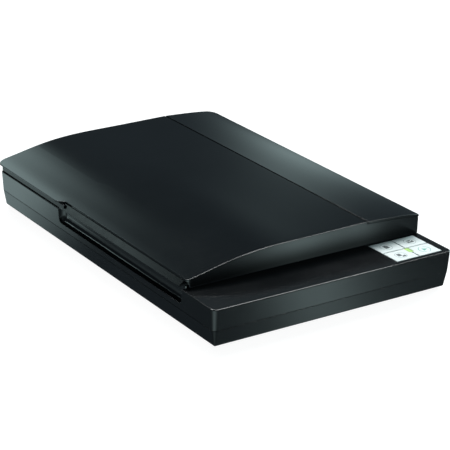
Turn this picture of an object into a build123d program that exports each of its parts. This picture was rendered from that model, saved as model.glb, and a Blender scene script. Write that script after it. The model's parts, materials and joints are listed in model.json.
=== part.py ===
from build123d import *
import os
from math import acos, cos, pi, radians, sin, tan

# Flatbed document scanner with a hinged lid, a light for film in the lid, and four push buttons.
# Millimetres. The origin is on the resting plane under the middle of the footprint, +Z is up,
# the buttons are at the front (-Y), the lid hinges are at the back (+Y), and +X is the right side.

# ---- Driving dimensions ----
half_width = 140.0        # the base and the lid are both 280 wide
base_front = -215.0
base_back = 207.0
lid_front = -161.5        # the deck with the buttons lies in front of the lid
lid_back = 215.0          # the lid overhangs the base at the back
foot_z = 2.0              # bottom of the housing: the feet stand this far out of it
parting_z = 19.0          # where the lower and the upper housing meet
deck_z = 40.6             # top of the base
wall = 2.4                # plastic wall of the housing
skin = 2.0                # plastic wall of the lid
seam = 0.3                # half of the gap at the housing's parting line
corner = 6.0              # plan radius of the base's corners
upper_draft = 1.4         # the upper housing narrows this much on each side, going down
lower_draft = 3.1         # the lower housing narrows this much more

glass_x = 108.0           # half of the window, 216 wide for A4 and letter sheets
glass_front = -152.0
glass_back = 145.0        # 297 long
glass_margin = 5.0        # the pane is larger than its window on every side
glass_top = deck_z - wall - 0.05
glass_thick = 2.75

panel_x = 75.0            # the seam between the lid's main cover and its side panel
# Height of the lid's top above the deck, at a few places across the main cover and the side panel,
# with the slope at each curve's ends. The crest at the seam is a soft fold.
cover_profile = [(-half_width, 7.2), (-118, 11.5), (-82, 19.1), (-55, 22.3), (0, 23.8), (panel_x, 24.8)]
cover_slopes = (0.19, 0.012)
panel_profile = [(panel_x, 24.8), (112, 23.0), (half_width, 20.0)]
panel_slopes = (-0.04, -0.16)
panel_gap = 0.6           # half of that seam
panel_overhang = 1.0      # the side panel's right edge stands this far past the lid's wall
lid_corner = 10.0         # plan radius at the back
grip_inset = 6.0          # the lid's left edge steps in by this much beside the finger recess
grip_back = 68.0          # where that step ends
grip_step = 15.0          # length of the step
lid_low = deck_z + 1.2    # bottom of the lid's frame
lid_floor = deck_z + 3.4  # bottom of the plate that closes the lid from below
lid_floor_thick = 2.0
lip_low = deck_z + 6.2    # underside of the thin left lip
lid_wall_low = deck_z + 0.6
lid_back_low = deck_z + 2.6           # the back wall is shorter, so that it clears the base as it swings
mat_low = deck_z + 0.4

film_x0, film_x1 = 66.0, 106.0        # window for film and slides in the lid's underside
film_y0, film_y1 = -120.0, 118.0

recess_front = -160.0     # finger recess in the base's left side
recess_back = 76.0
recess_depth = 8.0
recess_low = 26.0

pivot_y = 208.0           # lid hinge
pivot_z = deck_z + 12.0
hinge_x = 70.0            # each hinge's distance from the middle
hinge_pin_r = 2.0
post_half = 7.0           # hinge post: 14 wide
post_front = 191.5
post_back = 200.5
post_low = 10.0
socket_low = 21.6
hinge_slot_front = 187.5
running = 0.04            # radial clearance of a shaft in its bore
sliding = 0.3             # clearance of a post in its socket

scan_home = 152.0         # the line that the carriage reads, at its parked place
carriage_x = 117.0
carriage_ahead = 12.0     # how far the carriage reaches in front of the line
carriage_behind = 30.0
carriage_low = 17.5
carriage_top = 33.8
rod_x = -40.0
rod_z = 13.0
rod_r = 3.0

belt_x = 10.0
belt_low = 11.0
belt_high = 16.0
belt_pitch_r = 20 * 2.0 / (2 * pi)    # a 20-tooth pulley for a 2 mm belt
belt_thick = 1.05
drive_y = -188.0
idler_y = 192.0
gear_module = 0.6
gear_teeth = 60
pinion_teeth = 15
gear_low = 21.0
gear_high = 26.0
motor_x = belt_x - gear_module * (gear_teeth + pinion_teeth) / 2
motor_r = 14.0
bracket_low = 19.2
bracket_high = 20.7

button_left = 74.6
button_right = 131.4
button_front = -209.8
button_back = -163.8
button_split_x = 103.1
button_split_y = -187.0
button_gap = 0.7          # half of the slot between two buttons
button_top = deck_z + 0.2
button_travel = 0.8
light_y = -192.4
light_half = (2.6, 4.6)
light_gap = 0.3
board_top = 31.6          # the small board under the buttons
switch_top = 35.0
bezel_edges = (button_left - 1.2, button_right + 1.0, button_front - 1.2, button_back + 1.4)
bezel_gap = 0.4           # the groove where the bezel meets the deck


# ---- Helpers ----
def block(x0, x1, y0, y1, z0, z1):
    """A box between two corners."""
    return Pos((x0 + x1) / 2, (y0 + y1) / 2, (z0 + z1) / 2) * Box(x1 - x0, y1 - y0, z1 - z0)


def round_z(x, y, z0, z1, r):
    """A cylinder standing along Z."""
    return Pos(x, y, (z0 + z1) / 2) * Cylinder(r, z1 - z0)


def round_y(x, z, y0, y1, r):
    """A cylinder lying along Y."""
    return Pos(x, (y0 + y1) / 2, z) * Rot(90, 0, 0) * Cylinder(r, y1 - y0)


def round_x(y, z, x0, x1, r):
    """A cylinder lying along X."""
    return Pos((x0 + x1) / 2, y, z) * Rot(0, 90, 0) * Cylinder(r, x1 - x0)


def prism_x(points, x0, x1):
    """A polygon of (y, z) points, drawn out along X."""
    face = make_face(Polyline(*points, close=True))
    return extrude(Plane.YZ.offset(x0) * face, amount=x1 - x0)


def prism_y(points, y0, y1):
    """A polygon of (x, z) points, drawn out along Y."""
    face = make_face(Polyline(*points, close=True))
    return extrude(Plane.XZ.offset(-y1) * face, amount=y1 - y0)


def tapered(z0, inset0, z1, inset1):
    """A block with the base's rounded footprint, inset by a different amount at each height."""
    rings = []
    for z, inset in ((z0, inset0), (z1, inset1)):
        sketch = RectangleRounded(
            2 * (half_width - inset), base_back - base_front - 2 * inset, max(corner - inset, 1.0)
        )
        rings.append(Pos(0, (base_front + base_back) / 2, z) * sketch)
    return loft(rings, ruled=True)


def housing_inset(z):
    """How far the housing's outer face lies inside the footprint at height z."""
    if z >= parting_z:
        return upper_draft * (deck_z - z) / (deck_z - parting_z)
    return upper_draft + lower_draft * (parting_z - z) / (parting_z - foot_z)


def housing_block(z0, z1, inset):
    """The housing's own tapered shape between two heights on one side of the parting line."""
    return tapered(z0, housing_inset(z0) + inset, z1, housing_inset(z1) + inset)


# ---- Base: housings ----
screw_spots = [(-122, -196), (62, -201), (-122, 192), (122, 192)]
foot_spots = [(-112, -186), (112, -186), (-112, 178), (112, 178)]
screw_r = 1.5


def finger_recess():
    """The scoop in the left side, with rounded ends and a curved bottom."""
    outer = -half_width - 2
    deep = -half_width + recess_depth
    bend = 7.0
    edges = [
        Line((outer, recess_low - 1.5), (outer, deck_z + 1)),
        Line((outer, deck_z + 1), (deep, deck_z + 1)),
        Line((deep, deck_z + 1), (deep, recess_low + bend)),
        Spline(
            (deep, recess_low + bend),
            (outer, recess_low - 1.5),
            tangents=((0, -1), (-1, -0.35)),
        ),
    ]
    face = make_face(edges)
    scoop = extrude(Plane.XZ.offset(-recess_back) * face, amount=recess_back - recess_front)
    ends = [e for e in scoop.edges().filter_by(Axis.Z) if abs(e.center().X - deep) < 0.01]
    return fillet(ends, 5.0)


def upper_outside():
    """The upper housing's outer shape, which the bezel around the buttons continues."""
    outer = housing_block(parting_z + seam, deck_z, 0)
    return fillet(outer.edges().group_by(Axis.Z)[-1], 0.9)


def upper_housing():
    outer = upper_outside()
    backing = block(
        -half_width, -half_width + recess_depth + wall, recess_front - wall, recess_back + wall, 0, deck_z
    )
    cavity = tapered(parting_z, upper_draft + wall, deck_z - wall, wall) - backing
    body = outer - cavity - finger_recess()
    under_deck, over_deck = deck_z - 2 * wall, deck_z + 1
    body -= block(-glass_x, glass_x, glass_front, glass_back, under_deck, over_deck)
    x0, x1, y0, y1 = bezel_edges
    body -= block(x0 - 0.2, x1 + 0.2, y0 - 0.2, y1 + 0.2, under_deck, over_deck)
    left, back, low = x0 - bezel_gap, y1 + bezel_gap, deck_z - wall - 0.15
    body -= block(left, half_width + 1, base_front - 1, back, low, over_deck)
    for side in (-1, 1):
        x = side * hinge_x
        wide = post_half + sliding + 2.3
        back = base_back - wall + 0.6
        body += block(x - wide, x + wide, post_front - wall, back, socket_low, deck_z - wall + 0.2)
        body -= block(
            x - post_half - sliding,
            x + post_half + sliding,
            post_front - sliding,
            post_back + sliding,
            0,
            deck_z + 1,
        )
    for x, y in screw_spots:
        body += round_z(x, y, parting_z + seam, deck_z - wall + 0.2, 4.0)
        body -= round_z(x, y, 0, 34, screw_r + 0.05)
    return body


def lower_housing():
    outer = housing_block(foot_z, parting_z - seam, 0)
    outer = fillet(outer.edges().group_by(Axis.Z)[0], 2.2)
    floor_z = foot_z + wall
    cavity = tapered(floor_z, housing_inset(floor_z) + wall, parting_z, upper_draft + wall)
    body = outer - cavity
    tongue_out = upper_draft + wall + 0.15
    tongue = tapered(parting_z - 3, tongue_out, parting_z + 2, tongue_out)
    tongue -= tapered(parting_z - 4, tongue_out + 1.2, parting_z + 3, tongue_out + 1.2)
    tongue -= block(
        -half_width,
        -half_width + recess_depth + wall,
        recess_front - wall - 0.5,
        recess_back + wall + 0.5,
        parting_z - seam,
        parting_z + 4,
    )
    body += tongue
    # saddles for the guide rod
    for y0, y1 in ((-192, -180), (185, 196)):
        body += block(rod_x - 7, rod_x + 7, y0, y1, floor_z - 0.2, rod_z)
    body -= round_y(rod_x, rod_z, -190, 194, rod_r + 0.02)
    # rail that the carriage's far side glides on, and the pillars of the motor bracket
    body += block(97, 103, -176, 188, floor_z - 0.2, 16.5)
    for x in (-33, 34):
        body += round_z(x, -200, floor_z - 0.2, bracket_low, 3.5)
        body -= round_z(x, -200, 8, bracket_low + 1, 1.05)
    body += round_z(belt_x, drive_y, floor_z - 0.2, 9.5, 4.5)
    body -= round_z(belt_x, drive_y, 5, 10, 2.0)
    for x, y in screw_spots:
        body += round_z(x, y, floor_z - 0.2, parting_z - seam, 4.5)
        body -= round_z(x, y, 0, 7, 3.4)
        body -= round_z(x, y, 0, 30, 1.7)
    for x, y in foot_spots:
        body -= round_z(x, y, 0, foot_z + 1, 8.0)
    # ports in the back wall, the slot of the transport lock, and the board's standoffs
    body -= block(usb_x - 6.5, usb_x + 6.5, 190, 210, 7.4, 19.6)
    body -= round_y(jack_x, jack_z, 190, 210, 5.0)
    body -= block(lock_x - 6, lock_x + lock_travel + 6, lock_y - 3.2, lock_y + 3.2, 0, floor_z + 1)
    for x, y in board_spots:
        body += round_z(x, y, floor_z - 0.2, board_z, 2.5)
        body -= round_z(x, y, floor_z, board_z + 1, 1.05)
    return body


def rubber_feet():
    return [round_z(x, y, 0, foot_z + 1, 7.9) for x, y in foot_spots]


def housing_screws():
    screws = []
    for x, y in screw_spots:
        screws.append(round_z(x, y, 5, 7, 3.0) + round_z(x, y, 7, 30, screw_r))
    return screws


def platen_glass():
    x, y0, y1 = glass_x + glass_margin, glass_front - glass_margin, glass_back + glass_margin
    return block(-x, x, y0, y1, glass_top - glass_thick, glass_top)


def calibration_strip():
    low = glass_top - glass_thick
    return block(-glass_x, glass_x, scan_home - 4.5, scan_home + 4.0, low - 0.25, low)


# ---- Base: buttons ----
def control_bezel():
    """The cover around the buttons: the front right corner of the deck, with a flange under it."""
    x0, x1, y0, y1 = bezel_edges
    plate = upper_outside() & block(x0, half_width + 1, base_front - 1, y1, deck_z - wall - 0.1, deck_z + 1)
    flange = block(x0 - 1.8, x1 + 1.8, y0 + 2.2, y1 + 2.5, 36.2, deck_z - wall - 0.05)
    opening = block(button_left, button_right, button_front, button_back, 30, deck_z + 1)
    bezel = plate + flange - opening
    for x in (button_left - 1.5, button_right + 1.4):
        bezel += round_z(x, button_split_y, board_top + 0.1, 36.4, 1.3)
    return bezel


def status_light():
    """The light pipe between the two front buttons."""
    x, y = light_half
    return block(
        button_split_x - x, button_split_x + x, light_y - y, light_y + y, 33.0, deck_z
    )


def button_board():
    board = block(button_left - 3, button_right + 2.4, -208, -166, board_top - 1.6, board_top)
    led = block(
        button_split_x - 1.2, button_split_x + 1.2, light_y - 1.5, light_y + 1.5, board_top, board_top + 1
    )
    return board + led


button_centres = {
    "file": ((button_left + button_split_x) / 2, (button_split_y + button_back) / 2),
    "email": ((button_split_x + button_right) / 2, (button_split_y + button_back) / 2),
    "copy": ((button_left + button_split_x) / 2, (button_front + button_split_y) / 2),
    "start": ((button_split_x + button_right) / 2, (button_front + button_split_y) / 2),
}


def tact_switches():
    """Four small dome switches under the stems of the keys."""
    switches = []
    for x, y in button_centres.values():
        body = block(x - 3, x + 3, y - 3, y + 3, board_top, board_top + 2.4)
        switches.append(body + round_z(x, y, board_top + 2.4, switch_top, 1.6))
    return switches


def push_button(name):
    """One key: a cap with a skirt, a flange that keeps it in, and a stem over its switch."""
    x, y = button_centres[name]
    is_left = x < button_split_x
    is_front = y < button_split_y
    x0 = button_left + button_gap if is_left else button_split_x + button_gap
    x1 = button_split_x - button_gap if is_left else button_right - button_gap
    y0 = button_front + button_gap if is_front else button_split_y + button_gap
    y1 = button_split_y - button_gap if is_front else button_back - button_gap
    cap = block(x0, x1, y0, y1, 37.0, button_top)
    cap = fillet(cap.edges().group_by(Axis.Z)[-1], 0.35)
    cap -= block(x0 + 1.4, x1 - 1.4, y0 + 1.4, y1 - 1.4, 36, button_top - 1.6)
    if is_front:
        reach_x, reach_y = light_half[0] + light_gap, light_half[1] + light_gap
        left, right = button_split_x - reach_x, button_split_x + reach_x
        cap -= block(left, right, light_y - reach_y, light_y + reach_y, 30, deck_z + 2)
    # the flange reaches under the bezel on the outer side, on a skirt that hangs from the cap
    outward = -1 if is_left else 1
    edge = x0 if is_left else x1
    reach = [edge + outward * 1.2, edge - outward * 1.4]
    flange = block(min(reach), max(reach), y0 + 2, y1 - 2, 35.4, 36.0)
    skirt = block(
        min(edge, edge - outward * 1.4), max(edge, edge - outward * 1.4), y0 + 2, y1 - 2, 35.8, 37.5
    )
    stem = round_z(x, y, switch_top + button_travel + 0.1, button_top - 1, 1.8)
    return cap + stem + skirt + flange


# ---- Base: electronics and drive ----
board_z = 6.4
board_spots = [(28, -70), (88, -70), (28, 50), (88, 50)]
usb_x = 34.0
jack_x = 50.0
jack_z = 13.0


def main_board():
    board = block(24, 92, -75, 55, board_z, board_z + 1.6)
    top = board_z + 1.6
    # two large chips, a smaller one, and a header: place, width, depth and height
    for x, y, w, d, h in (
        (56, -20, 22, 22, 1.6),
        (40, 25, 12, 18, 1.2),
        (72, 24, 14, 10, 1.4),
        (38, -52, 16, 6, 5),
    ):
        board += block(x - w / 2, x + w / 2, y - d / 2, y + d / 2, top - 0.1, top + h)
    for x, y in ((80, -50), (70, -50), (82, 0)):
        board += round_z(x, y, top - 0.1, top + 6, 3)
    for x, y in board_spots:
        board -= round_z(x, y, 0, 20, 1.6)
    return board


def board_screws():
    screws = []
    top = board_z + 1.6
    for x, y in board_spots:
        screws.append(round_z(x, y, top, top + 1.4, 2.6) + round_z(x, y, 4.9, top, 1.0))
    return screws


def port_board():
    return block(24, 58, 176, 200.6, board_z, board_z + 1.6)


def usb_port():
    shell = block(usb_x - 6, usb_x + 6, 189, 205.5, board_z + 1.6, 18.8)
    mouth = block(usb_x - 4.6, usb_x + 4.6, 194, 206, board_z + 3.2, 17.4)
    tongue = block(usb_x - 2.8, usb_x + 2.8, 193, 203.5, 11.6, 14.8)
    return shell - mouth + tongue


def dc_jack():
    body = block(jack_x - 4.8, jack_x + 4.8, 190, 200.8, board_z + 1.6, 18.4)
    barrel = round_y(jack_x, jack_z, 196, 205.5, 4.6)
    return body + barrel - round_y(jack_x, jack_z, 194, 206, 3.0) + round_y(jack_x, jack_z, 193, 204, 1.0)


def port_harness():
    """The wires between the two boards, lying on the floor beside the port board's edge."""
    return block(59, 66, 48, 196, 4.6, 6.0) - block(58, 67, 47, 56, 5.8, 7)


def guide_rod():
    return round_y(rod_x, rod_z, -189.5, 193.5, rod_r)


def rod_clips():
    clips = []
    for y0, y1 in ((-190, -182), (187, 195)):
        clip = block(rod_x - 7, rod_x + 7, y0, y1, rod_z + 0.05, rod_z + 4.4)
        clips.append(clip - round_y(rod_x, rod_z, y0 - 1, y1 + 1, rod_r + 0.02))
    return clips


def stepper_motor():
    can = round_z(motor_x, drive_y, 4.6, bracket_low - 0.05, motor_r)
    can = fillet(can.edges().group_by(Axis.Z)[0], 1.0)
    for side in (-1, 1):
        y = drive_y + side * (motor_r + 0.5)
        can += block(motor_x - 3, motor_x + 3, y - 2.5, y + 2.5, bracket_low - 1.6, bracket_low - 0.05)
    return can + round_z(motor_x, drive_y, 15, gear_high + 0.8, 1.0)


def motor_bracket():
    plate = block(-38, 39, -206, -176, bracket_low, bracket_high)
    plate = fillet(plate.edges().filter_by(Axis.Z), 5)
    plate -= round_z(motor_x, drive_y, 0, 30, 3.5)
    plate -= round_z(belt_x, drive_y, 0, 30, 5.5)
    for x in (-33, 34):
        plate -= round_z(x, -200, 0, 30, 1.2)
    return plate


def bracket_screws():
    screws = []
    for x in (-33, 34):
        head = round_z(x, -200, bracket_high, bracket_high + 1.5, 2.6)
        screws.append(head + round_z(x, -200, 9, bracket_high, 1.0))
    return screws


def gear_outline(teeth, backlash, turn):
    """An involute spur gear's face. Each tooth thinner by backlash, first tooth at angle turn (radians)."""
    pitch_r = gear_module * teeth / 2
    base_r = pitch_r * cos(radians(20))
    tip_r = pitch_r + gear_module
    root_r = pitch_r - 1.25 * gear_module
    start_r = max(base_r, root_r + 0.02)

    def roll(r):
        """Angle of the involute's point at radius r, from where it leaves the base circle."""
        lean = acos(base_r / r)
        return tan(lean) - lean

    half_tooth = pi / (2 * teeth) - backlash / (2 * pitch_r)
    edges = []

    def at(r, a):
        return (r * cos(a), r * sin(a))

    steps = 4
    radii = [start_r + (tip_r - start_r) * i / steps for i in range(steps + 1)]
    for k in range(teeth):
        middle = turn + 2 * pi * k / teeth
        lean = [half_tooth + roll(pitch_r) - roll(r) for r in radii]
        right = [at(r, middle - a) for r, a in zip(radii, lean)]
        left = [at(r, middle + a) for r, a in zip(radii, lean)]
        foot_right = at(root_r, middle - lean[0])
        foot_left = at(root_r, middle + lean[0])
        next_right = at(root_r, middle + 2 * pi / teeth - lean[0])
        edges.append(Line(foot_right, right[0]))
        edges.append(Spline(*right))
        edges.append(ThreePointArc(right[-1], at(tip_r, middle), left[-1]))
        edges.append(Spline(*reversed(left)))
        edges.append(Line(left[0], foot_left))
        edges.append(ThreePointArc(foot_left, at(root_r, middle + pi / teeth), next_right))
    return make_face(edges)


def flanged_pulley(x, y, z_low, z_high):
    """A belt wheel with a flange above and below the belt."""
    wheel = round_z(x, y, z_low, z_high, belt_pitch_r - belt_thick / 2 - 0.03)
    wheel += round_z(x, y, z_low, belt_low - 0.15, 8.0)
    wheel += round_z(x, y, belt_high + 0.15, z_high, 8.0)
    return wheel


def drive_gear():
    """One moulding: the large gear, its hub, and the belt pulley under it."""
    teeth = extrude(gear_outline(gear_teeth, 0.08, 0), amount=gear_high - gear_low)
    gear = Pos(belt_x, drive_y, gear_low) * teeth
    ring = round_z(belt_x, drive_y, gear_low + 3.2, gear_high + 1, 15.0)
    ring -= round_z(belt_x, drive_y, gear_low, gear_high + 2, 6.5)
    wheel = flanged_pulley(belt_x, drive_y, 10.0, 17.5)
    hub = round_z(belt_x, drive_y, 17, gear_high + 0.4, 4.0)
    return gear - ring + wheel + hub - round_z(belt_x, drive_y, 0, 40, 2.0 + running)


def motor_pinion():
    teeth = extrude(gear_outline(pinion_teeth, 0.08, pi), amount=gear_high - gear_low)
    pinion = Pos(motor_x, drive_y, gear_low) * teeth
    return pinion - round_z(motor_x, drive_y, 0, 40, 1.0 + running)


def gear_stud():
    stud = round_z(belt_x, drive_y, 5, gear_high + 1.2, 2.0)
    return stud + round_z(belt_x, drive_y, gear_high + 0.6, gear_high + 1.4, 3.6)


def idler_bracket():
    """A sheet-metal slide that the spring pulls back, with the idler's stud on it."""
    plate = block(belt_x - 9, belt_x + 9, idler_y - 12, idler_y + 8, 4.6, 6.2)
    tab = block(belt_x - 3, belt_x + 3, idler_y + 6.6, idler_y + 8, 6.0, 9)
    stud = round_z(belt_x, idler_y, 6.0, 18.6, 2.0) + round_z(belt_x, idler_y, 18.2, 19.0, 3.2)
    return plate + tab + stud


def idler_pulley():
    return flanged_pulley(belt_x, idler_y, 10.0, 17.5) - round_z(belt_x, idler_y, 0, 30, 2.0 + running)


def tension_spring():
    """The coil spring that pulls the idler back, along Y beside the belt."""
    coil = Helix(pitch=1.6, height=19.2, radius=2.0)
    wire = sweep(Plane(origin=coil @ 0, z_dir=coil % 0) * Circle(0.35), path=coil)
    return Pos(belt_x - 16, 200.4, 9.5) * Rot(90, 0, 0) * wire


def drive_belt():
    """An endless belt around the pulley and the idler."""
    outer_r = belt_pitch_r + belt_thick / 2
    inner_r = belt_pitch_r - belt_thick / 2

    def loop(r, z0, z1):
        solid = block(belt_x - r, belt_x + r, drive_y, idler_y, z0, z1)
        return solid + round_z(belt_x, drive_y, z0, z1, r) + round_z(belt_x, idler_y, z0, z1, r)

    return loop(outer_r, belt_low, belt_high) - loop(inner_r, belt_low - 1, belt_high + 1)


lock_x = -96.0
lock_y = 190.0
lock_travel = 8.0


def transport_lock():
    """A slider worked from below. Its nose reaches into a hole in the parked carriage."""
    knob = block(lock_x - 5, lock_x + 5, lock_y - 2.8, lock_y + 2.8, foot_z + 0.2, 5.0)
    foot = block(lock_x - 8, lock_x + 8, lock_y - 5, lock_y + 5, 4.6, 6.4)
    arm = block(lock_x + 2, lock_x + 6, lock_y - 14, lock_y - 2, 6.2, 8.0)
    nose = round_x(lock_y - 12, 12.0, lock_x + 2, lock_x + 12, 1.5)
    riser = block(lock_x + 2, lock_x + 6, lock_y - 14, lock_y - 10, 6.2, 13.5)
    return knob + foot + arm + riser + nose


# ---- Carriage ----
car_front = scan_home - carriage_ahead
car_back = scan_home + carriage_behind
bushing_fronts = (car_front + 4, car_back - 13)


def carriage_body():
    body = block(-carriage_x, carriage_x, car_front, car_back, carriage_low, 32.4)
    body -= block(-carriage_x + 2, carriage_x - 2, car_front + 8, car_back - 2, carriage_low + 2, 34)
    body -= block(-carriage_x + 4, carriage_x - 4, car_front + 2, car_front + 6.4, carriage_low + 9, 34)
    for y0 in bushing_fronts:
        body += block(rod_x - 7.5, rod_x + 7.5, y0, y0 + 9, 7.4, carriage_low + 0.2)
        body -= round_y(rod_x, rod_z, y0 - 1, y0 + 10, 5.0)
    tab = block(lock_x + 15, lock_x + 19, car_back - 7, car_back - 1, 8.5, carriage_low + 0.2)
    return body + tab - round_x(lock_y - 12, 12.0, lock_x + 14, lock_x + 20, 2.0)


def rod_bushings():
    bushes = []
    for y0 in bushing_fronts:
        bore = round_y(rod_x, rod_z, y0 - 1, y0 + 10, rod_r + running)
        bushes.append(round_y(rod_x, rod_z, y0, y0 + 9, 5.0) - bore)
    return bushes


def glide_pads():
    return [block(97.5, 102.5, y0, y0 + 8, 16.6, carriage_low) for y0 in bushing_fronts]


def carriage_cover():
    """The black plate over the optics, with the slit that the light comes back through."""
    cover = block(-carriage_x, carriage_x, car_front + 8.2, car_back, 32.4, carriage_top)
    return cover - block(-glass_x - 1, glass_x + 1, scan_home - 1.5, scan_home + 1.5, 30, 36)


def light_bar():
    """The light guide along the front of the carriage, standing in its channel."""
    face = [(car_front + 2.4, 27), (car_front + 6.0, 27), (car_front + 6.0, 31.5), (car_front + 4.8, 33.6),
            (car_front + 2.4, 33.6)]
    return prism_x(face, -carriage_x + 4.4, carriage_x - 4.4)


def mirror(y, z, lean, length, width):
    """A thin strip mirror along X, tilted about its own long middle line."""
    return Pos(0, y, z) * Rot(lean, 0, 0) * Box(length, width, 1.2)


def mirrors():
    return [
        mirror(scan_home, 23.4, 35, 218, 8.0),
        mirror(scan_home + 5.5, 29.6, -72, 150, 5.0),
        mirror(scan_home + 22.0, 25.4, 78, 200, 8.0),
    ]


def lens_barrel():
    front = scan_home + 8.0
    barrel = round_y(0, 25.0, front, front + 9, 4.5) - round_y(0, 25.0, front - 1, front + 1.5, 3.2)
    return barrel + block(-6, 6, front + 2, front + 7, carriage_low + 2, 21.5)


def sensor_board():
    board = block(20, 66, scan_home + 5, scan_home + 24, carriage_low + 2.0, carriage_low + 3.6)
    return board + block(28, 58, scan_home + 9, scan_home + 13, carriage_low + 3.4, carriage_low + 7)


def belt_clamp():
    """A hook under the carriage that grips one run of the belt."""
    run_x = belt_x - belt_pitch_r
    clamp = block(run_x - 3, run_x + 3, scan_home, scan_home + 12, belt_low - 0.6, carriage_low)
    grip = belt_thick / 2 + 0.08
    y0, y1 = scan_home - 1, scan_home + 13
    return clamp - block(run_x - grip, run_x + grip, y0, y1, belt_low - 1, belt_high + 0.1)


def carriage_ribbon():
    """The flat cable from the main board, along the floor and up to the carriage."""
    floor_run = block(44, 58, 56, 150, 5.0, 5.3)
    riser = block(44, 58, 149.7, 150, 5.0, carriage_low - 0.1)
    return floor_run + riser


# ---- Hinge posts ----
def hinge_post(side):
    """A post that slides in the base's socket, with the eye of the hinge at its top."""
    x = side * hinge_x
    column = block(x - post_half, x + post_half, post_front, post_back, post_low, deck_z + 2)
    neck = prism_x(
        [
            (post_front, deck_z + 1.9),
            (post_back, deck_z + 1.9),
            (pivot_y + 3.6, pivot_z - 2.6),
            (pivot_y, pivot_z + 4.4),
            (post_front + 1.5, pivot_z - 2.0),
        ],
        x - post_half,
        x + post_half,
    )
    head = round_x(pivot_y, pivot_z, x - post_half, x + post_half, 4.4)
    bore = round_x(pivot_y, pivot_z, x - post_half - 1, x + post_half + 1, hinge_pin_r + running)
    return column + neck + head - bore


# ---- Lid ----
def lid_outline(inset, with_grip=True):
    """The lid's plan, inset by an amount. The left edge steps in beside the finger recess."""
    left, right = -half_width + inset, half_width - inset
    front, back = lid_front + inset, lid_back - inset
    r = max(lid_corner - inset, 2.0)
    grip_x = left + (grip_inset if with_grip else 0)
    chamfer = 4.0
    edges = [
        Line((right - r, back), (left + r, back)),
        RadiusArc((left + r, back), (left, back - r), -r),
    ]
    if with_grip:
        edges.append(Line((left, back - r), (left, grip_back + grip_step)))
        edges.append(
            Spline((left, grip_back + grip_step), (grip_x, grip_back), tangents=((0, -1), (0, -1)))
        )
        edges.append(Line((grip_x, grip_back), (grip_x, front + chamfer)))
    else:
        edges.append(Line((left, back - r), (left, front + chamfer)))
    edges += [
        Line((grip_x, front + chamfer), (grip_x + chamfer, front)),
        Line((grip_x + chamfer, front), (right - 1, front)),
        Line((right - 1, front), (right, front + 1)),
        Line((right, front + 1), (right, back - r)),
        RadiusArc((right, back - r), (right - r, back), -r),
    ]
    return make_face(edges)


def lid_block(inset, drop, z_low, with_grip=True):
    """Everything between z_low and the lid's curved top lowered by drop, within the plan outline."""
    edges = []
    for profile, slopes in ((cover_profile, cover_slopes), (panel_profile, panel_slopes)):
        points = [(x, deck_z + h - drop) for x, h in profile]
        edges.append(Spline(*points, tangents=[(1, slope) for slope in slopes]))
    top_left, top_right = edges[0] @ 0, edges[1] @ 1
    low_left, low_right = (-half_width, z_low), (half_width, z_low)
    edges += [Line(top_right, low_right), Line(low_right, low_left), Line(low_left, top_left)]
    section = make_face(edges)
    under_curve = extrude(Plane.XZ.offset(-lid_back) * section, amount=lid_back - lid_front)
    plan = extrude(Pos(0, 0, z_low - 1) * lid_outline(inset, with_grip), amount=40)
    return under_curve & plan


def hinge_slots(z_high):
    """The openings that the hinge posts swing through as the lid turns."""
    cuts = []
    for side in (-1, 1):
        x = side * hinge_x
        cuts.append(block(x - 13, x + 13, hinge_slot_front, lid_back + 1, deck_z, z_high))
    return cuts


lid_screw_spots = [(-100, -130), (-100, 150), (50, -130), (50, 150)]


def lid_shell():
    outer = lid_block(0, 0, lid_wall_low)
    cavity = lid_block(skin, skin, lid_wall_low - 1)
    shell = outer - cavity
    lip_x = -half_width + grip_inset + skin + 0.4
    shell -= block(-half_width - 1, lip_x, lid_front - 1, lid_back + 1, 40, lip_low)
    panel_space = block(panel_x - panel_gap, half_width + 1, lid_front - 1, lid_back + 1, 50, 80)
    shell -= panel_space - lid_block(-5, skin + 0.05, 40)
    wall_x = half_width - panel_overhang
    shell -= block(wall_x, half_width + 1, lid_front - 1, lid_back + 1, 30, 90)
    shell -= block(-half_width - 1, half_width + 1, lid_back - lid_corner - 7, lid_back + 1, 30, lid_back_low)
    for cut in hinge_slots(58):
        shell -= cut
    floor_top = lid_floor + lid_floor_thick
    for x, y in lid_screw_spots:
        boss = round_z(x, y, floor_top + 0.05, 80, 3.4) & lid_block(skin - 0.3, skin - 0.3, 40)
        shell += boss
        shell -= round_z(x, y, floor_top - 1, floor_top + 6, 1.05)
    return shell


def lid_side_panel():
    """The cover over the film light, with its own edge standing a little past the side wall."""
    panel = lid_block(0, 0, lid_wall_low) - lid_block(-5, skin, lid_wall_low - 1)
    return panel & block(panel_x + panel_gap, half_width, lid_front, lid_back, 50, 90)


def lid_frame():
    """The tray that closes the lid from below, with the grip ledge and the side band."""
    floor_top = lid_floor + lid_floor_thick
    inset = skin + 1.0
    plate = extrude(Pos(0, 0, lid_low) * lid_outline(inset), amount=floor_top - lid_low)
    plate -= block(-115.5, 115.5, lid_front + 5.5, 151.5, 30, lid_floor)
    band = block(-138.8, -135.5, grip_back - 2, lid_back - lid_corner - 2, lid_low, lip_low - 0.2)
    ledge = prism_y(
        [
            (-half_width, lid_low),
            (-half_width, lid_low + 0.8),
            (-half_width + grip_inset - 0.4, lip_low - 0.2),
            (-half_width + grip_inset + 5, lip_low - 0.2),
            (-half_width + grip_inset + 5, lid_low),
        ],
        lid_front + 6,
        grip_back + 6,
    )
    frame = plate + band + ledge
    frame -= block(film_x0, film_x1, film_y0, film_y1, 30, 60)
    for cut in hinge_slots(70):
        frame -= cut
    for x, y in lid_screw_spots:
        frame -= round_z(x, y, 30, 60, 1.3)
        frame -= round_z(x, y, 30, lid_floor + 0.6, 3.0)
    return frame


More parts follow.
